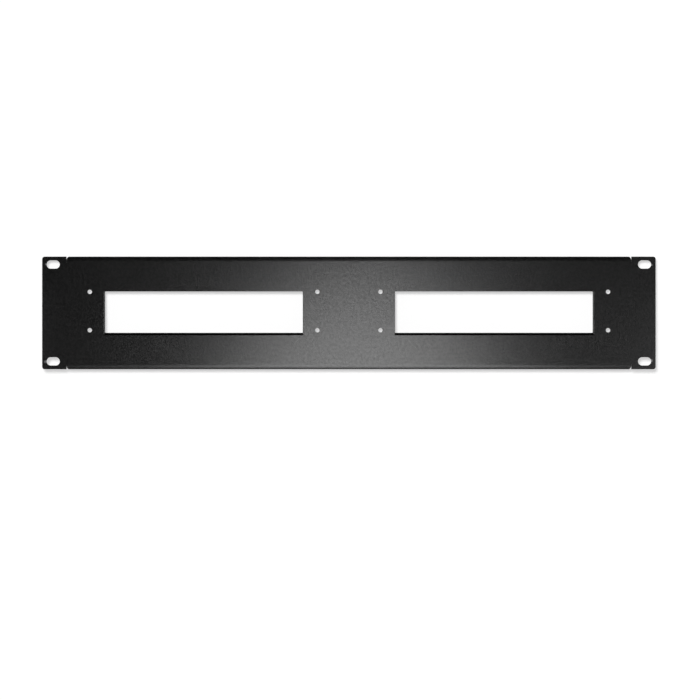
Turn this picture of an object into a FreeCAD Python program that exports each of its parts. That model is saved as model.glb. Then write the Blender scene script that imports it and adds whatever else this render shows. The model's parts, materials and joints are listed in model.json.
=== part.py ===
import FreeCAD, Part
import math
import os
import types
import Sketcher

# Two-unit mounting plate for a 19 inch rack, folded from one sheet of steel. The flat face has
# two device windows, a slotted ear at each end and a flange turned back along its top and bottom.
# Y = 0 is the back of the ears, where the plate seats on the rack's rails. The face looks towards
# -Y, X runs along the plate, and Z runs up from the centre of the four rack slots.

NODE = "mounting_plate"

# Driving dimensions: name, millimetres (degrees for the taper), what it measures
SIZES = (
    ("plate_width", "482.6", "over both ears, the 19 inch panel width"),
    ("plate_height", "88.6", "two rack units less 0.3 mm of room"),
    ("sheet_thickness", "2", "folded steel sheet"),
    ("bend_inside_radius", "2", "inside of the two long bends"),
    ("flange_depth", "15", "face to the back edge of a flange"),
    ("ear_width", "19.2", "side edge to the bend relief"),
    ("ear_corner_radius", "2", "outer corners of the ears"),
    ("bend_relief", "0.12", "cut between an ear and the start of a bend"),
    ("flange_end_taper", "30", "slant of a flange's ends, in degrees"),
    ("slot_length", "10.3", "rack slot, end to end"),
    ("slot_width", "6.5", "rack slot, for an M6 screw"),
    ("slot_side_inset", "8.75", "side edge to the centre of a slot"),
    ("slot_end_inset", "6.2", "top or bottom edge to the centre of a slot"),
    ("window_width", "156", "device window along X"),
    ("window_height", "32.6", "device window along Z"),
    ("window_pitch", "228.6", "centre to centre of the two windows"),
    ("window_raise", "0.8", "window centre above the middle of the plate"),
    ("window_corner_radius", "0.5", "inside corners of a window"),
    ("hole_diameter", "3.4", "clearance for an M3 screw"),
    ("hole_side_gap", "11.5", "side of a window to the centre of a hole"),
    ("hole_top_drop", "0.5", "top of a window down to the upper holes"),
    ("hole_pitch", "30.2", "upper holes to lower holes"),
)

ORIGIN_POINT = (-1, 1)
START, END, CENTRE = 1, 2, 3
SKETCH_NORMAL = FreeCAD.Vector(0, 0, 1)
QUARTER_TURN = math.pi / 2
POSITION_TOLERANCE = 0.001


class Length:
    """A number and the spreadsheet expression that it comes from, worked out together."""

    def __init__(self, number, expression):
        self.number = number
        self.expression = expression

    def __add__(self, other):
        return Length(self.number + other.number, f"({self.expression} + {other.expression})")

    def __sub__(self, other):
        return Length(self.number - other.number, f"({self.expression} - {other.expression})")

    def __mul__(self, other):
        return Length(self.number * other.number, f"({self.expression} * {other.expression})")

    def __truediv__(self, divisor):
        return Length(self.number / divisor, f"({self.expression} / {divisor})")

    def __neg__(self):
        return Length(-self.number, f"(-{self.expression})")


def slope(angle):
    """Rise over run of an angle in degrees."""
    return Length(math.tan(math.radians(angle.number)), f"tan({angle.expression} * 1 deg)")


doc = FreeCAD.newDocument("RackPlate")
sheet = doc.addObject("Spreadsheet::Sheet", "Sizes")
for row, (name, value, note) in enumerate(SIZES, start=1):
    sheet.set(f"A{row}", name)
    sheet.set(f"B{row}", value)
    sheet.setAlias(f"B{row}", name)
    sheet.set(f"C{row}", note)
doc.recompute()
size = types.SimpleNamespace()
for name, value, note in SIZES:
    setattr(size, name, Length(sheet.get(name), f"Sizes.{name}"))

# Places that more than one sketch or feature uses
zero = Length(0, "0")
half_width = size.plate_width / 2
half_height = size.plate_height / 2
fold_line = half_height - size.sheet_thickness - size.bend_inside_radius
flange_back = size.flange_depth - size.sheet_thickness
ear_root = half_width - size.ear_width
flange_root = ear_root - size.bend_relief
end_taper = slope(size.flange_end_taper)
window_inner = size.window_pitch / 2 - size.window_width / 2
window_outer = size.window_pitch / 2 + size.window_width / 2
window_top = size.window_raise + size.window_height / 2
window_bottom = size.window_raise - size.window_height / 2

body = doc.addObject("PartDesign::Body", "Plate")
body.Label = NODE


def origin_plane(role):
    return next(f for f in body.Origin.OriginFeatures if f.Role == role)


def new_sketch(name, role):
    sketch = body.newObject("Sketcher::SketchObject", name)
    sketch.AttachmentSupport = [(origin_plane(role), "")]
    sketch.MapMode = "FlatFace"
    return sketch


def point(across, up):
    return FreeCAD.Vector(across.number, up.number, 0)


def line(start, end):
    return Part.LineSegment(point(*start), point(*end))


def arc(centre, radius, start_angle, end_angle):
    circle = Part.Circle(point(*centre), SKETCH_NORMAL, radius.number)
    return Part.ArcOfCircle(circle, start_angle, end_angle)


def bind(sketch, kind, spots, length):
    """Adds a dimension to a sketch that follows the sizes."""
    index = sketch.addConstraint(Sketcher.Constraint(kind, *spots, length.number))
    sketch.setExpression(f"Constraints[{index}]", length.expression)


def place(sketch, spot, across, up):
    """Holds a spot of a sketch, its geometry and point number, at a place from the origin."""
    bind(sketch, "DistanceX", (*ORIGIN_POINT, *spot), across)
    bind(sketch, "DistanceY", (*ORIGIN_POINT, *spot), up)


def join(sketch, kind, *spots):
    """Joins two ends of a sketch's lines and arcs, or keeps one or two of them in a direction."""
    sketch.addConstraint(Sketcher.Constraint(kind, *spots))


def add_polygon(sketch, corners):
    """A closed outline with straight sides, where side n ends at corner n."""
    for side, corner in enumerate(corners):
        sketch.addGeometry(line(corners[side - 1], corner))
    for side, corner in enumerate(corners):
        join(sketch, "Coincident", side, END, (side + 1) % len(corners), START)
        place(sketch, (side, END), *corner)


def add_slot(sketch, across, up):
    """A level rack slot with round ends about a centre."""
    radius = size.slot_width / 2
    reach = size.slot_length / 2 - radius
    right_end, left_end = across + reach, across - reach
    right = sketch.addGeometry(arc((right_end, up), radius, -QUARTER_TURN, QUARTER_TURN))
    top = sketch.addGeometry(line((right_end, up + radius), (left_end, up + radius)))
    left = sketch.addGeometry(arc((left_end, up), radius, QUARTER_TURN, 3 * QUARTER_TURN))
    bottom = sketch.addGeometry(line((left_end, up - radius), (right_end, up - radius)))
    for before, after in ((right, top), (top, left), (left, bottom), (bottom, right)):
        join(sketch, "Tangent", before, END, after, START)
    join(sketch, "Equal", right, left)
    place(sketch, (right, CENTRE), right_end, up)
    place(sketch, (left, CENTRE), left_end, up)
    bind(sketch, "Radius", (right,), radius)


def add_circle(sketch, across, up, diameter):
    radius = diameter / 2
    circle = sketch.addGeometry(Part.Circle(point(across, up), SKETCH_NORMAL, radius.number))
    place(sketch, (circle, CENTRE), across, up)
    bind(sketch, "Diameter", (circle,), diameter)


def set_tip(feature):
    body.Tip = feature
    doc.recompute()
    return feature


def pad(name, sketch, length, side_type):
    feature = body.newObject("PartDesign::Pad", name)
    feature.Profile = sketch
    feature.SideType = side_type
    feature.setExpression("Length", length.expression)
    return set_tip(feature)


def through_cut(name, sketch):
    """Cuts a sketch's outlines through everything on both sides of its plane."""
    feature = body.newObject("PartDesign::Pocket", name)
    feature.Profile = sketch
    feature.SideType = "Symmetric"
    feature.Type = "ThroughAll"
    return set_tip(feature)


def drilled(name, sketch, diameter):
    """Drills a sketch's circles through the sheet in front of its plane."""
    doc.recompute()
    feature = body.newObject("PartDesign::Hole", name)
    feature.Profile = sketch
    feature.DepthType = "ThroughAll"
    feature.Reversed = True
    feature.setExpression("Diameter", diameter.expression)
    return set_tip(feature)


def mirrored(name, feature, role):
    """Repeats a feature on the other side of one of the body's origin planes."""
    mirror = body.newObject("PartDesign::Mirrored", name)
    mirror.Originals = [feature]
    mirror.MirrorPlane = (origin_plane(role), [""])
    return set_tip(mirror)


def rounded(name, corners, radius):
    """Rounds the edges that run through the sheet at the given corners."""
    base = body.Tip
    names = []
    for number, edge in enumerate(base.Shape.Edges, start=1):
        box = edge.BoundBox
        spread = max(box.XLength, box.ZLength)
        offsets = [max(abs(box.XMin - x), abs(box.ZMin - z)) for x, z in corners]
        if spread < POSITION_TOLERANCE and min(offsets) < POSITION_TOLERANCE:
            names.append(f"Edge{number}")
    feature = body.newObject("PartDesign::Fillet", name)
    feature.Base = (base, names)
    feature.setExpression("Radius", radius.expression)
    return set_tip(feature)


def on_both_sides(across_values, up_values):
    """Corners at plus and minus each distance across, as plain numbers."""
    return [
        (side * across.number, up.number)
        for side in (1, -1)
        for across in across_values
        for up in up_values
    ]


def fold_section():
    """The sheet's section from mid-height up: face, bend and flange."""
    sketch = new_sketch("FoldSection", "YZ_Plane")
    face = -size.sheet_thickness
    inner = size.bend_inside_radius
    outer = inner + size.sheet_thickness
    underside = half_height - size.sheet_thickness
    bend_centre = (inner, fold_line)
    flange_top = sketch.addGeometry(line((flange_back, half_height), (inner, half_height)))
    outer_bend = sketch.addGeometry(arc(bend_centre, outer, QUARTER_TURN, 2 * QUARTER_TURN))
    front = sketch.addGeometry(line((face, fold_line), (face, zero)))
    middle = sketch.addGeometry(line((face, zero), (zero, zero)))
    back = sketch.addGeometry(line((zero, zero), (zero, fold_line)))
    inner_bend = sketch.addGeometry(arc(bend_centre, inner, QUARTER_TURN, 2 * QUARTER_TURN))
    flange_under = sketch.addGeometry(line((inner, underside), (flange_back, underside)))
    flange_edge = sketch.addGeometry(line((flange_back, underside), (flange_back, half_height)))
    join(sketch, "Tangent", flange_top, END, outer_bend, START)
    join(sketch, "Tangent", outer_bend, END, front, START)
    join(sketch, "Coincident", front, END, middle, START)
    join(sketch, "Coincident", middle, END, back, START)
    join(sketch, "Tangent", back, END, inner_bend, END)
    join(sketch, "Tangent", inner_bend, START, flange_under, START)
    join(sketch, "Coincident", flange_under, END, flange_edge, START)
    join(sketch, "Coincident", flange_edge, END, flange_top, START)
    join(sketch, "Coincident", outer_bend, CENTRE, inner_bend, CENTRE)
    join(sketch, "Coincident", back, START, *ORIGIN_POINT)
    for level in (flange_top, middle, flange_under):
        join(sketch, "Horizontal", level)
    for upright in (front, back, flange_edge):
        join(sketch, "Vertical", upright)
    place(sketch, (flange_top, START), flange_back, half_height)
    bind(sketch, "DistanceX", (middle, START, middle, END), size.sheet_thickness)
    bind(sketch, "Radius", (inner_bend,), inner)
    return sketch


def flange_end():
    """What is trimmed off one end of both flanges, in plan: a slant from the face to the back."""
    sketch = new_sketch("FlangeEnd", "XY_Plane")
    past_back = size.flange_depth
    slant_end = flange_root - end_taper * (past_back + size.sheet_thickness)
    add_polygon(
        sketch,
        [
            (flange_root, -size.sheet_thickness),
            (ear_root, -size.sheet_thickness),
            (ear_root, past_back),
            (slant_end, past_back),
        ],
    )
    return sketch


def ear_outline():
    """One ear at the plate's full height, with a root between the fold lines that joins the face."""
    sketch = new_sketch("EarOutline", "XZ_Plane")
    root_end = flange_root - end_taper * size.flange_depth
    add_polygon(
        sketch,
        [
            (root_end, -fold_line),
            (ear_root, -fold_line),
            (ear_root, -half_height),
            (half_width, -half_height),
            (half_width, half_height),
            (ear_root, half_height),
            (ear_root, fold_line),
            (root_end, fold_line),
        ],
    )
    return sketch


def window_outline():
    sketch = new_sketch("WindowOutline", "XZ_Plane")
    add_polygon(
        sketch,
        [
            (window_inner, window_bottom),
            (window_outer, window_bottom),
            (window_outer, window_top),
            (window_inner, window_top),
        ],
    )
    return sketch


def slot_outlines():
    """The two rack slots of one ear."""
    sketch = new_sketch("SlotOutlines", "XZ_Plane")
    slot_x = half_width - size.slot_side_inset
    slot_z = half_height - size.slot_end_inset
    for up in (slot_z, -slot_z):
        add_slot(sketch, slot_x, up)
    return sketch


def hole_centres():
    """The four screw holes beside one window."""
    sketch = new_sketch("HoleCentres", "XZ_Plane")
    upper = window_top - size.hole_top_drop
    for across in (window_inner - size.hole_side_gap, window_outer + size.hole_side_gap):
        for up in (upper, upper - size.hole_pitch):
            add_circle(sketch, across, up, size.hole_diameter)
    return sketch


# Face and flanges, folded as one section and trimmed at both ends
upper_fold = pad("UpperFold", fold_section(), flange_root + flange_root, "Symmetric")
mirrored("BothFolds", upper_fold, "XY_Plane")
end_trim = through_cut("FlangeEndTrim", flange_end())
both_end_trims = mirrored("BothFlangeEndTrims", end_trim, "YZ_Plane")

# Ears, which stay flat beside the bend reliefs
ear = pad("Ear", ear_outline(), size.sheet_thickness, "One side")
mirrored("BothEars", ear, "YZ_Plane")
rounded("EarCorners", on_both_sides([half_width], [half_height, -half_height]), size.ear_corner_radius)

# Openings through the sheet
window = through_cut("Window", window_outline())
both_windows = mirrored("BothWindows", window, "YZ_Plane")
window_corners = on_both_sides([window_inner, window_outer], [window_top, window_bottom])
rounded("WindowCorners", window_corners, size.window_corner_radius)
slots = through_cut("Slots", slot_outlines())
all_slots = mirrored("AllSlots", slots, "YZ_Plane")
holes = drilled("ScrewHoles", hole_centres(), size.hole_diameter)
all_holes = mirrored("AllScrewHoles", holes, "YZ_Plane")

for cut in (end_trim, both_end_trims, window, both_windows, slots, all_slots, holes, all_holes):
    if cut.Shape.Volume >= cut.BaseFeature.Shape.Volume:
        raise RuntimeError(f"{cut.Label} cuts nothing")
for item in doc.Objects:
    if "Invalid" in item.State or "Error" in item.State:
        raise RuntimeError(f"{item.Label} failed: {item.State}")
if body.Shape.isNull() or not body.Shape.isValid() or len(body.Shape.Solids) != 1:
    raise RuntimeError(f"{body.Label} isn't one sound solid")

os.makedirs("parts", exist_ok=True)
body.Shape.exportStep(f"parts/{body.Label}.step")
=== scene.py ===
import json
import math

import bmesh
import bpy
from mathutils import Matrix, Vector


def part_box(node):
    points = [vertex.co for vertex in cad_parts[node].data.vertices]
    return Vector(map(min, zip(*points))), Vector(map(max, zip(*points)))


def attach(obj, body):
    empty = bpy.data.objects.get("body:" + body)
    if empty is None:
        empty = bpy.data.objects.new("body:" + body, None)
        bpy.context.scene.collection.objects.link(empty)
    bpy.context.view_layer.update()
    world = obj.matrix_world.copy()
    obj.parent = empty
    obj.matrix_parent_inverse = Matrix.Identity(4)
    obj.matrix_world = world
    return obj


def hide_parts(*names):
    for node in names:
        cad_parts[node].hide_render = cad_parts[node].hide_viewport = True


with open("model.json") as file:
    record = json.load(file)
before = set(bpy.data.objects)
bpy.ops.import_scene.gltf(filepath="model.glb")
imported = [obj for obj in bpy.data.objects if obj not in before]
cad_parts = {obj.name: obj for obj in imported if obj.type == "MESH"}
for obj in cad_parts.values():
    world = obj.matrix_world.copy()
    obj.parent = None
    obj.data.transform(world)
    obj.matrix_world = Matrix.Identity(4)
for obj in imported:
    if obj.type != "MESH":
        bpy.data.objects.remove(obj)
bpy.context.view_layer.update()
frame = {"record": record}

MM = 0.001

# The plate's box and its openings, in metres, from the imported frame

LOW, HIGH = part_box("mounting_plate")
HALF_WIDTH = HIGH.x
HALF_HEIGHT = HIGH.z
FACE_FRONT = LOW.y
FLANGE_BACK = HIGH.y
SHEET = -FACE_FRONT
SHEET_MIDDLE = FACE_FRONT / 2

MOUNTS = {mount["name"]: mount for mount in frame["record"]["mounts"]}
RACK_SLOTS = MOUNTS["rack_slots"]["dims"]
SLOT_X = RACK_SLOTS["spacing_x_mm"] * MM / 2
SLOT_Z = RACK_SLOTS["spacing_y_mm"] * MM / 2
SLOT_RADIUS = RACK_SLOTS["hole_r_mm"] * MM
SLOT_LENGTH = RACK_SLOTS["slot_length_mm"] * MM
HOLE_GROUP = MOUNTS["right_device_holes"]
DEVICE_HOLES = HOLE_GROUP["dims"]
HOLE_REACH_X = DEVICE_HOLES["spacing_x_mm"] * MM / 2
HOLE_REACH_Z = DEVICE_HOLES["spacing_y_mm"] * MM / 2
HOLE_RADIUS = DEVICE_HOLES["hole_r_mm"] * MM
HOLE_ROW_Z = HOLE_GROUP["pos_m"][2]

# The folded sheet

BEND_INSIDE = 0.002
BEND_OUTSIDE = BEND_INSIDE + SHEET
BEND_STEPS = 16
FOLD_LINE = HALF_HEIGHT - BEND_OUTSIDE
EAR_WIDTH = 0.0192
EAR_ROOT = HALF_WIDTH - EAR_WIDTH
EAR_CORNER = 0.002
EAR_CORNER_STEPS = 10
BEND_RELIEF = 0.00003
FLANGE_ROOT = EAR_ROOT - BEND_RELIEF
FLANGE_SLANT = math.tan(math.radians(30))
SLANT_START = 0.0004

# The windows, with a sill and an outer side that lean, and the punches

WINDOW_X = HOLE_GROUP["pos_m"][0]
WINDOW_Z = 0.0008
WINDOW_WIDTH = 0.156
WINDOW_HEIGHT = 0.0326
WINDOW_SILL = WINDOW_Z - WINDOW_HEIGHT / 2
WINDOW_CORNER = 0.0005
WINDOW_CORNER_STEPS = 5
HEAD_DROP = 0.00023
SILL_LEAN = 0.0017
JAMB_LEAN = 0.0012
JAMB_INSET = 0.0007
PUNCH_DEPTH = 4 * SHEET
SLOT_SIDES = 64
HOLE_SIDES = 40

# Edges as the coat leaves them, almost sharp at the bend reliefs

COAT_EDGE = 0.0003
COAT_EDGE_STEPS = 3
NOTCH_REACH = 0.003
NOTCH_SHARE = 0.03
SHARP_TURN = math.radians(40)
SMOOTH_TURN = math.radians(45)

# How well faces, edges and points have to agree with a place or direction

TINY = 0.00001
MERGE_GAP = TINY / 10
FACING = 0.9
IN_LINE = 0.99
NEAR_TURN = 0.01


# Small helpers for modelling by hand

def take_up(piece):
    bpy.ops.object.select_all(action="DESELECT")
    piece.select_set(True)
    bpy.context.view_layer.objects.active = piece


def apply_place():
    bpy.ops.object.transform_apply(location=True, rotation=True, scale=True)


def new_piece(name, primitive, **settings):
    bpy.ops.object.select_all(action="DESELECT")
    primitive(**settings)
    piece = bpy.context.view_layer.objects.active
    piece.name = name
    piece.data.name = name
    apply_place()
    return piece


def own_copy(piece, location=(0, 0, 0), scale=(1, 1, 1)):
    copy = piece.copy()
    copy.data = piece.data.copy()
    bpy.context.scene.collection.objects.link(copy)
    copy.location = location
    copy.scale = scale
    take_up(copy)
    apply_place()
    return copy


def finish_with(piece, name, kind, **settings):
    modifier = piece.modifiers.new(name, kind)
    for setting, value in settings.items():
        setattr(modifier, setting, value)
    bpy.ops.object.modifier_apply(modifier=modifier.name)


def start_editing():
    bpy.ops.object.mode_set(mode="EDIT")


def stop_editing():
    bpy.ops.object.mode_set(mode="OBJECT")


def pick(piece, kind, wanted):
    bpy.ops.mesh.select_mode(type=kind)
    bpy.ops.mesh.select_all(action="DESELECT")
    mesh = bmesh.from_edit_mesh(piece.data)
    group = {"FACE": mesh.faces, "EDGE": mesh.edges, "VERT": mesh.verts}[kind]
    for item in group:
        if wanted(item):
            item.select_set(True)
    mesh.select_flush_mode()
    bmesh.update_edit_mesh(piece.data)


def pull(offset):
    bpy.ops.mesh.extrude_region_move(TRANSFORM_OT_translate={"value": offset})


def turn_outwards():
    bpy.ops.mesh.select_all(action="SELECT")
    bpy.ops.mesh.normals_make_consistent(inside=False)


def middle_of(face):
    return face.calc_center_median()


def centre_of(edge):
    return (edge.verts[0].co + edge.verts[1].co) / 2


def runs_through_sheet(edge):
    reach = edge.verts[1].co - edge.verts[0].co
    return abs(reach.y) > IN_LINE * reach.length


# The folded sheet: web, ears, bends and flanges

def folded_sheet():
    plate = new_piece(
        "coated_plate",
        bpy.ops.mesh.primitive_cube_add,
        size=1,
        location=(0, SHEET_MIDDLE, 0),
        scale=(2 * FLANGE_ROOT, SHEET, 2 * FOLD_LINE),
    )
    start_editing()
    add_ears(plate)
    fold_flanges(plate)
    slant_flange_ends(plate)
    round_ear_corners(plate)
    bpy.ops.mesh.select_all(action="SELECT")
    bpy.ops.mesh.remove_doubles(threshold=MERGE_GAP)
    turn_outwards()
    stop_editing()
    return plate


def add_ears(plate):
    for side in (-1, 1):
        pick(
            plate,
            "FACE",
            lambda face: face.normal.x * side > FACING and middle_of(face).x * side > 0,
        )
        pull((side * BEND_RELIEF, 0, 0))
        pull((side * EAR_WIDTH, 0, 0))
        for way in (-1, 1):
            pick(
                plate,
                "FACE",
                lambda face: face.normal.z * way > FACING and middle_of(face).x * side > EAR_ROOT,
            )
            pull((0, 0, way * BEND_OUTSIDE))


def fold_flanges(plate):
    for way in (-1, 1):
        pick(
            plate,
            "FACE",
            lambda face: face.normal.z * way > FACING
            and middle_of(face).z * way > 0
            and abs(middle_of(face).x) < FLANGE_ROOT / 2,
        )
        bpy.ops.mesh.spin(
            steps=BEND_STEPS,
            angle=way * math.pi / 2,
            center=(0, BEND_INSIDE, way * FOLD_LINE),
            axis=(1, 0, 0),
        )
        pull((0, FLANGE_BACK - BEND_INSIDE, 0))


def slant_flange_ends(plate):
    for step in range(1, BEND_STEPS + 1):
        turn = step * math.pi / 2 / BEND_STEPS
        run_back = BEND_OUTSIDE * (1 - math.cos(turn))
        narrow_to(plate, lambda vertex: on_bend(vertex, turn), run_back)
    narrow_to(
        plate,
        lambda vertex: at_flange_end(vertex) and abs(vertex.co.y - FLANGE_BACK) < TINY,
        FLANGE_BACK - FACE_FRONT,
    )


def at_flange_end(vertex):
    return abs(abs(vertex.co.x) - FLANGE_ROOT) < TINY


def on_bend(vertex, turn):
    rise = abs(vertex.co.z) - FOLD_LINE
    turned = math.atan2(rise, BEND_INSIDE - vertex.co.y)
    return at_flange_end(vertex) and rise > TINY and abs(turned - turn) < NEAR_TURN


def narrow_to(plate, wanted, run_back):
    run_in = FLANGE_SLANT * max(run_back - SLANT_START, 0)
    share = (FLANGE_ROOT - run_in) / FLANGE_ROOT
    pick(plate, "VERT", wanted)
    bpy.ops.transform.resize(value=(share, 1, 1), center_override=(0, 0, 0))


def round_ear_corners(plate):
    pick(
        plate,
        "EDGE",
        lambda edge: runs_through_sheet(edge)
        and abs(centre_of(edge).x) > HALF_WIDTH - TINY
        and abs(centre_of(edge).z) > HALF_HEIGHT - TINY,
    )
    bpy.ops.mesh.bevel(offset=EAR_CORNER, segments=EAR_CORNER_STEPS, affect="EDGES")


# Punches for the windows, the rack slots and the screw holes

def window_punch():
    punch = new_piece(
        "window_punch",
        bpy.ops.mesh.primitive_cube_add,
        size=1,
        location=(WINDOW_X, SHEET_MIDDLE, WINDOW_Z),
        scale=(WINDOW_WIDTH, PUNCH_DEPTH, WINDOW_HEIGHT),
    )
    start_editing()
    pick(punch, "EDGE", runs_through_sheet)
    bpy.ops.mesh.bevel(offset=WINDOW_CORNER, segments=WINDOW_CORNER_STEPS, affect="EDGES")
    pick(punch, "VERT", lambda vertex: vertex.co.z > WINDOW_Z)
    bpy.ops.transform.translate(value=(0, 0, -HEAD_DROP))
    for depth in (SHEET_MIDDLE - PUNCH_DEPTH / 2, SHEET_MIDDLE + PUNCH_DEPTH / 2):
        lean = depth / SHEET
        pick(
            punch,
            "VERT",
            lambda vertex: abs(vertex.co.y - depth) < TINY and vertex.co.z < WINDOW_Z,
        )
        bpy.ops.transform.translate(value=(0, 0, SILL_LEAN * lean))
        pick(
            punch,
            "VERT",
            lambda vertex: abs(vertex.co.y - depth) < TINY and vertex.co.x > WINDOW_X,
        )
        bpy.ops.transform.translate(value=(-JAMB_LEAN * lean - JAMB_INSET, 0, 0))
    stop_editing()
    return punch


def round_punch(name, radius, sides, x, z):
    return new_piece(
        name,
        bpy.ops.mesh.primitive_cylinder_add,
        vertices=sides,
        radius=radius,
        depth=PUNCH_DEPTH,
        location=(x, SHEET_MIDDLE, z),
        rotation=(math.pi / 2, 0, 0),
    )


def slot_punch():
    punch = round_punch("slot_punch", SLOT_RADIUS, SLOT_SIDES, SLOT_X, SLOT_Z)
    reach = SLOT_LENGTH / 2 - SLOT_RADIUS
    start_editing()
    for side in (-1, 1):
        pick(punch, "VERT", lambda vertex: (vertex.co.x - SLOT_X) * side > TINY)
        bpy.ops.transform.translate(value=(side * reach, 0, 0))
    stop_editing()
    return punch


def hole_punch():
    x = WINDOW_X + HOLE_REACH_X
    z = HOLE_ROW_Z + HOLE_REACH_Z
    return round_punch("hole_punch", HOLE_RADIUS, HOLE_SIDES, x, z)


def mirrored_copy(piece):
    copy = own_copy(piece, scale=(-1, 1, 1))
    start_editing()
    turn_outwards()
    stop_editing()
    return copy


def copies_in_rows(punch, across, up):
    moves = [(x, 0, z) for x in across for z in up if x or z]
    return [own_copy(punch, location=move) for move in moves]


def punch_set():
    window = window_punch()
    slot = slot_punch()
    hole = hole_punch()
    punches = [window, slot, hole, mirrored_copy(window)]
    punches += copies_in_rows(slot, (0, -2 * SLOT_X), (0, -2 * SLOT_Z))
    hole_steps = (0, -2 * HOLE_REACH_X, -2 * WINDOW_X, -2 * WINDOW_X - 2 * HOLE_REACH_X)
    punches += copies_in_rows(hole, hole_steps, (0, -2 * HOLE_REACH_Z))
    take_up(window)
    for punch in punches:
        punch.select_set(True)
    bpy.ops.object.join()
    return window


def punch_openings(plate):
    punches = punch_set()
    take_up(plate)
    finish_with(
        plate,
        "openings",
        "BOOLEAN",
        operation="DIFFERENCE",
        solver="EXACT",
        object=punches,
    )
    bpy.data.objects.remove(punches)


# Softened edges

def soften_edges(plate):
    take_up(plate)
    weigh_edges(plate)
    finish_with(
        plate,
        "coat edges",
        "BEVEL",
        limit_method="WEIGHT",
        width=COAT_EDGE,
        segments=COAT_EDGE_STEPS,
        use_clamp_overlap=False,
    )
    bpy.ops.object.shade_smooth_by_angle(angle=SMOOTH_TURN)
    finish_with(plate, "even shading", "WEIGHTED_NORMAL", keep_sharp=True)


def weigh_edges(plate):
    start_editing()
    bpy.ops.mesh.select_mode(type="EDGE")
    bpy.ops.mesh.select_all(action="DESELECT")
    bpy.ops.mesh.edges_select_sharp(sharpness=SHARP_TURN)
    mesh = bmesh.from_edit_mesh(plate.data)
    weights = mesh.edges.layers.float.new("bevel_weight_edge")
    for edge in mesh.edges:
        if edge.select:
            edge[weights] = edge_share(edge)
    bmesh.update_edit_mesh(plate.data)
    stop_editing()


def edge_share(edge):
    if not all(at_notch(vertex) for vertex in edge.verts):
        return 1
    if all(abs(abs(vertex.co.z) - FOLD_LINE) < TINY for vertex in edge.verts):
        return 0
    return NOTCH_SHARE


def at_notch(vertex):
    beside = FLANGE_ROOT - NOTCH_REACH < abs(vertex.co.x) < EAR_ROOT + TINY
    return beside and abs(vertex.co.z) > FOLD_LINE - TINY


# A bench for wiring the nodes of a finish or of the world

class Nodes:
    def __init__(self, owner):
        owner.use_nodes = True
        self.tree = owner.node_tree
        self.tree.nodes.clear()

    def add(self, kind, **settings):
        made = self.tree.nodes.new("ShaderNode" + kind)
        for setting, value in settings.items():
            setattr(made, setting, value)
        return made

    def feed(self, socket, value):
        if isinstance(value, bpy.types.NodeSocket):
            self.tree.links.new(value, socket)
        else:
            socket.default_value = value

    def math(self, operation, first, second=0.0):
        made = self.add("Math", operation=operation)
        self.feed(made.inputs[0], first)
        self.feed(made.inputs[1], second)
        return made.outputs[0]

    def ramp(self, value, span, start=0.0, end=1.0):
        made = self.add("MapRange", interpolation_type="SMOOTHSTEP")
        self.feed(made.inputs["Value"], value)
        self.feed(made.inputs["From Min"], span[0])
        self.feed(made.inputs["From Max"], span[1])
        self.feed(made.inputs["To Min"], start)
        self.feed(made.inputs["To Max"], end)
        return made.outputs["Result"]

    def mix_colours(self, share, first, second):
        made = self.add("Mix", data_type="RGBA")
        self.feed(made.inputs["Factor"], share)
        self.feed(made.inputs[6], first)
        self.feed(made.inputs[7], second)
        return made.outputs[2]

    def mix_values(self, share, first, second):
        made = self.add("Mix", data_type="FLOAT")
        self.feed(made.inputs["Factor"], share)
        self.feed(made.inputs[2], first)
        self.feed(made.inputs[3], second)
        return made.outputs[0]

    def noise(self, place, cells, detail):
        made = self.add("TexNoise")
        self.feed(made.inputs["Vector"], place)
        self.feed(made.inputs["Scale"], cells)
        self.feed(made.inputs["Detail"], detail)
        return made.outputs["Fac"]

    def bump(self, height, strength, depth):
        made = self.add("Bump")
        self.feed(made.inputs["Height"], height)
        self.feed(made.inputs["Strength"], strength)
        self.feed(made.inputs["Distance"], depth)
        return made

    def axes(self, place):
        made = self.add("SeparateXYZ")
        self.feed(made.inputs[0], place)
        return made.outputs

    def finish(self, kind, shader):
        self.feed(self.add("Output" + kind).inputs["Surface"], shader.outputs[0])


# The powder coat: grain, drift and gloss, with noise in cells to a metre

COAT_DARK = (0.0015, 0.0015, 0.0016, 1)
COAT_LIGHT = (0.0073, 0.0073, 0.0074, 1)
# light grey of the painted highlights at the slots' outer ends
SLOT_HIGHLIGHT_GREY = (0.17, 0.17, 0.173, 1)
# black of the painted shade on the windows' sills
SILL_SHADE_BLACK = (0.0012, 0.0012, 0.0012, 1)
WHITE = (1, 1, 1, 1)
BLACK = (0, 0, 0, 1)

GRAIN_CELLS = 480
GRAIN_DETAIL = 1
GRAIN_SPAN = (0.35, 0.65)
GRAIN_TONE = 0.7
GRAIN_STRENGTH = 1.0
GRAIN_DEPTH = 0.00008
PEBBLE_CELLS = 460
PEBBLE_DETAIL = 1
PEBBLE_SPAN = (0.25, 0.75)
PEBBLE_STRENGTH = 0.3
PEBBLE_DEPTH = 0.00008
DRIFT_CELLS = 14
DRIFT_DETAIL = 3
DRIFT_SPAN = (0.3, 0.7)
DRIFT_TONE = 0.3
GLOSSIEST = 0.51
DULLEST = 0.61

# Painted highlights at the slots' outer ends, in a bare-steel grey, and painted shade, black, on
# the windows' sills

MARK_BESIDE_SLOT = 0.0004
MARK_X = SLOT_X + SLOT_LENGTH / 2 + MARK_BESIDE_SLOT
MARK_ROUGHNESS = 0.42
MARK_METAL = 0.3
MARK_FADE = (0.75, 1.6)
RAGGED_CELLS = 900
RAGGED_DETAIL = 2
RAGGED_SHARE = 0.8
SILL_ROUGHNESS = 1.0
SILL_BAND = (0.0002, 0.0005)
SILL_FADE_FROM = WINDOW_WIDTH / 2 - 0.0004
SILL_FADE_TO = WINDOW_WIDTH / 2 + 0.0012
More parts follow.
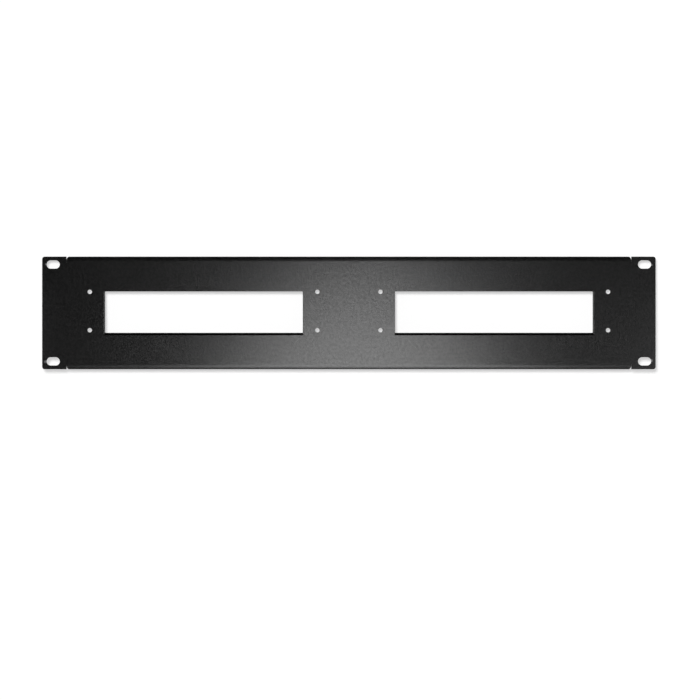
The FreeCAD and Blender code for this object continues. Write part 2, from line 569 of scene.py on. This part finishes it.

# Each painted highlight: which ear, which slot, lift above the slot's middle, half length, half
# height
SLOT_END_HIGHLIGHTS = (
    (-1, 1, 0.0002, 0.0010, 0.0009),
    (1, 1, -0.0004, 0.0011, 0.0008),
    (-1, -1, -0.0002, 0.0019, 0.0012),
    (1, -1, 0.0006, 0.0011, 0.0010),
)


def powder_coat():
    material = bpy.data.materials.new("black_powder_coat")
    coat = Nodes(material)
    place = coat.add("TexCoord").outputs["Object"]
    axes = coat.axes(place)
    grain = coat.noise(place, GRAIN_CELLS, GRAIN_DETAIL)
    pebble = coat.noise(place, PEBBLE_CELLS, PEBBLE_DETAIL)
    drift = coat.noise(place, DRIFT_CELLS, DRIFT_DETAIL)
    # painted highlights at the slots' outer ends
    slot_highlight = slot_end_highlights(coat, place, axes)
    # painted shade on the windows' sills
    sill_painted_shade = sill_shade(coat, axes)

    tone = coat.math(
        "ADD",
        coat.ramp(drift, DRIFT_SPAN, 0.0, DRIFT_TONE),
        coat.ramp(grain, GRAIN_SPAN, 0.0, GRAIN_TONE),
    )
    colour = coat.mix_colours(tone, COAT_DARK, COAT_LIGHT)
    # Painted highlights: light grey, glossier, partly metallic spots at the slots' outer ends
    colour = coat.mix_colours(slot_highlight, colour, SLOT_HIGHLIGHT_GREY)
    # Painted shade: the windows' sills turn black and fully rough
    colour = coat.mix_colours(sill_painted_shade, colour, SILL_SHADE_BLACK)
    gloss = coat.ramp(pebble, PEBBLE_SPAN, GLOSSIEST, DULLEST)
    gloss = coat.mix_values(slot_highlight, gloss, MARK_ROUGHNESS)
    gloss = coat.mix_values(sill_painted_shade, gloss, SILL_ROUGHNESS)
    fine = coat.bump(grain, GRAIN_STRENGTH, GRAIN_DEPTH)
    peel = coat.bump(pebble, PEBBLE_STRENGTH, PEBBLE_DEPTH)
    coat.feed(peel.inputs["Normal"], fine.outputs["Normal"])

    shader = coat.add("BsdfPrincipled")
    coat.feed(shader.inputs["Base Color"], colour)
    coat.feed(shader.inputs["Roughness"], gloss)
    coat.feed(shader.inputs["Metallic"], coat.math("MULTIPLY", slot_highlight, MARK_METAL))
    # no specular tint in the painted shade on the sills, so they show no reflection
    coat.feed(shader.inputs["Specular Tint"], coat.mix_colours(sill_painted_shade, WHITE, BLACK))
    coat.feed(shader.inputs["Normal"], peel.outputs["Normal"])
    coat.finish("Material", shader)
    return material


# Painted highlights beside each slot's outer end, with ragged rims
def slot_end_highlights(coat, place, axes):
    ragged = coat.math("MULTIPLY", coat.noise(place, RAGGED_CELLS, RAGGED_DETAIL), RAGGED_SHARE)
    highlights = 0.0
    for ear, slot, lift, half_length, half_height in SLOT_END_HIGHLIGHTS:
        away_x = coat.math("SUBTRACT", axes["X"], ear * MARK_X)
        away_z = coat.math("SUBTRACT", axes["Z"], slot * SLOT_Z + lift)
        away_x = coat.math("DIVIDE", away_x, half_length)
        away_z = coat.math("DIVIDE", away_z, half_height)
        squares = coat.math("MULTIPLY", away_x, away_x)
        squares = coat.math("ADD", squares, coat.math("MULTIPLY", away_z, away_z))
        reach = coat.math("ADD", coat.math("SQRT", squares), ragged)
        highlights = coat.math("MAXIMUM", highlights, coat.ramp(reach, MARK_FADE, 1.0, 0.0))
    return highlights


# Painted shade: a black band on the leaning sill under each window, which also takes the sill's
# reflections away
def sill_shade(coat, axes):
    across = coat.math("SUBTRACT", coat.math("ABSOLUTE", axes["X"]), WINDOW_X)
    inside = coat.ramp(
        coat.math("ABSOLUTE", across),
        (SILL_FADE_FROM, SILL_FADE_TO),
        1.0,
        0.0,
    )
    slope = coat.math("MULTIPLY", axes["Y"], SILL_LEAN / SHEET)
    rise = coat.math("SUBTRACT", coat.math("SUBTRACT", axes["Z"], slope), WINDOW_SILL)
    band = coat.ramp(coat.math("ABSOLUTE", rise), SILL_BAND, 1.0, 0.0)
    return coat.math("MULTIPLY", inside, band)


# The stage: a white backdrop and floor, which only the camera sees, and only from the front

STAGE_SIZE = 12.0
FLOOR_LEVEL = -0.32
BACKDROP_GAP = 0.0004
BACKDROP_LEAN = math.radians(5)
PAPER = (0.5, 0.5, 0.5, 1)
BACKDROP_GLOW = 0.555
FLOOR_GLOW = 0.75


def one_sided_white(name, glow):
    material = bpy.data.materials.new(name)
    white = Nodes(material)
    front = white.math("SUBTRACT", 1.0, white.add("NewGeometry").outputs["Backfacing"])
    seen = white.math("MULTIPLY", white.add("LightPath").outputs["Is Camera Ray"], front)
    paper = white.add("BsdfDiffuse")
    white.feed(paper.inputs["Color"], PAPER)
    shine = white.add("Emission")
    white.feed(shine.inputs["Strength"], glow)
    lit = white.add("AddShader")
    white.feed(lit.inputs[0], paper.outputs[0])
    white.feed(lit.inputs[1], shine.outputs[0])
    mixed = white.add("MixShader")
    white.feed(mixed.inputs[0], seen)
    white.feed(mixed.inputs[1], white.add("BsdfTransparent").outputs[0])
    white.feed(mixed.inputs[2], lit.outputs[0])
    white.finish("Material", mixed)
    return material


def white_sheet(name, glow, location, tilt):
    sheet = new_piece(
        name,
        bpy.ops.mesh.primitive_plane_add,
        size=STAGE_SIZE,
        location=location,
        rotation=(tilt, 0, 0),
    )
    sheet.data.materials.append(one_sided_white(name + "_white", glow))
    return sheet


def stage():
    hinge = Vector((0, FLANGE_BACK + BACKDROP_GAP, HALF_HEIGHT))
    upward = Vector((0, -math.sin(BACKDROP_LEAN), math.cos(BACKDROP_LEAN)))
    lift = STAGE_SIZE / 2 - (HALF_HEIGHT - FLOOR_LEVEL) / math.cos(BACKDROP_LEAN)
    backdrop = white_sheet(
        "backdrop",
        BACKDROP_GLOW,
        hinge + upward * lift,
        math.pi / 2 + BACKDROP_LEAN,
    )
    floor = white_sheet("floor", FLOOR_GLOW, (0, 0, FLOOR_LEVEL), 0)


# The room: white to the camera, dim to the gloss in front and bright behind, with a soft fill

ROOM_IN_FRONT = 0.024
ROOM_BEHIND = 0.8
ROOM_TURN = (0.1, 0.7)
FILL_LEVEL = 0.176


def studio_world():
    world = bpy.data.worlds.new("studio")
    bpy.context.scene.world = world
    room = Nodes(world)
    world.cycles.sampling_method = "NONE"
    path = room.add("LightPath").outputs
    direction = room.axes(room.add("TexCoord").outputs["Generated"])
    level_back = room.math("SUBTRACT", direction["Y"], room.math("ABSOLUTE", direction["Z"]))
    behind = room.ramp(level_back, ROOM_TURN, ROOM_IN_FRONT, ROOM_BEHIND)
    mirrored = room.math("MULTIPLY", path["Is Glossy Ray"], behind)
    straight = room.math("ADD", path["Is Camera Ray"], path["Is Transmission Ray"])
    special = room.math("ADD", straight, path["Is Glossy Ray"])
    fill = room.math("MULTIPLY", room.math("SUBTRACT", 1.0, special), FILL_LEVEL)
    strength = room.math("ADD", room.math("ADD", straight, mirrored), fill)
    background = room.add("Background")
    room.feed(background.inputs["Color"], WHITE)
    room.feed(background.inputs["Strength"], strength)
    room.finish("World", background)


# The lamps: a key light for the shadow, lamps that only the gloss shows, and two soft ones behind

KEY_LEVEL = 0.80
KEY_RISE = math.radians(6.6)
KEY_LEFT = math.radians(3.9)
KEY_SPREAD = math.radians(7.5)
KEY_STAND = 2.0
FRONT_PLACE = (0.0104, -0.105, -0.311)
FRONT_SIZE = (0.271, 0.706)
FRONT_POWER = 3.4
SIDE_PLACE = (0.381, -0.1, -0.148)
SIDE_SIZE = (0.3, 0.3)
SIDE_POWER = 0.31
LEFT_RIM_PLACE = (-0.27, -0.03, -0.012)
LEFT_RIM_POWER = 0.0085
RIGHT_RIM_PLACE = (0.27, -0.03, -0.012)
RIGHT_RIM_POWER = 0.003
RIM_SIZE = (0.02, 0.05)
BACK_PLACES = ((-0.9, 1.5, 0.3), (0.9, 1.5, 0.3))
BACK_SIZE = 0.9
BACK_POWER = 15
ORIGIN = (0, 0, 0)
STRAIGHT_BACK = Vector((0, 1, 0))


def lamp(name, kind, power, place, aim):
    light = bpy.data.lights.new(name, kind)
    light.energy = power
    made = bpy.data.objects.new(name, light)
    bpy.context.scene.collection.objects.link(made)
    made.location = place
    made.rotation_euler = (Vector(aim) - Vector(place)).to_track_quat("-Z", "Y").to_euler()
    made.visible_camera = False
    return made


def gloss_lamp(name, shape, power, place, size):
    made = lamp(name, "AREA", power, place, Vector(place) + STRAIGHT_BACK)
    made.data.shape = shape
    made.data.size, made.data.size_y = size
    made.visible_diffuse = False
    made.visible_transmission = False


def lights():
    above = Vector((-math.tan(KEY_LEFT), -1, math.tan(KEY_RISE)))
    key = lamp("key", "SUN", KEY_LEVEL * math.pi, above * KEY_STAND, ORIGIN)
    key.data.angle = KEY_SPREAD
    key.visible_glossy = False
    gloss_lamp("front", "ELLIPSE", FRONT_POWER, FRONT_PLACE, FRONT_SIZE)
    gloss_lamp("side", "RECTANGLE", SIDE_POWER, SIDE_PLACE, SIDE_SIZE)
    gloss_lamp("left_rim", "ELLIPSE", LEFT_RIM_POWER, LEFT_RIM_PLACE, RIM_SIZE)
    gloss_lamp("right_rim", "ELLIPSE", RIGHT_RIM_POWER, RIGHT_RIM_PLACE, RIM_SIZE)
    for place in BACK_PLACES:
        back = lamp("back_soft", "AREA", BACK_POWER, place, ORIGIN)
        back.data.size = BACK_SIZE


# The camera: square on and far away, at the picture's scale

PICTURE_PIXELS = 700
PLATE_PIXELS = 613.6
FRAME_WIDTH = 2 * HALF_WIDTH * PICTURE_PIXELS / PLATE_PIXELS
FRAME_X = 0.00087
FRAME_Z = -0.02916
CAMERA_DISTANCE = 20.0
CLIP_NEAR = 0.05
CLIP_FAR = 60
SENSOR = 36.0


def camera():
    lens = bpy.data.cameras.new("camera")
    lens.sensor_width = SENSOR
    lens.lens = SENSOR * CAMERA_DISTANCE / FRAME_WIDTH
    lens.clip_start = CLIP_NEAR
    lens.clip_end = CLIP_FAR
    stand = bpy.data.objects.new("camera", lens)
    bpy.context.scene.collection.objects.link(stand)
    stand.location = (FRAME_X, FACE_FRONT - CAMERA_DISTANCE, FRAME_Z)
    stand.rotation_euler = (math.pi / 2, 0, 0)
    bpy.context.scene.camera = stand


bpy.context.scene.view_settings.view_transform = "Standard"
camera()
stage()
studio_world()
lights()

plate = folded_sheet()
punch_openings(plate)
soften_edges(plate)
plate.data.materials.append(powder_coat())
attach(plate, "root")
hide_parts("mounting_plate")
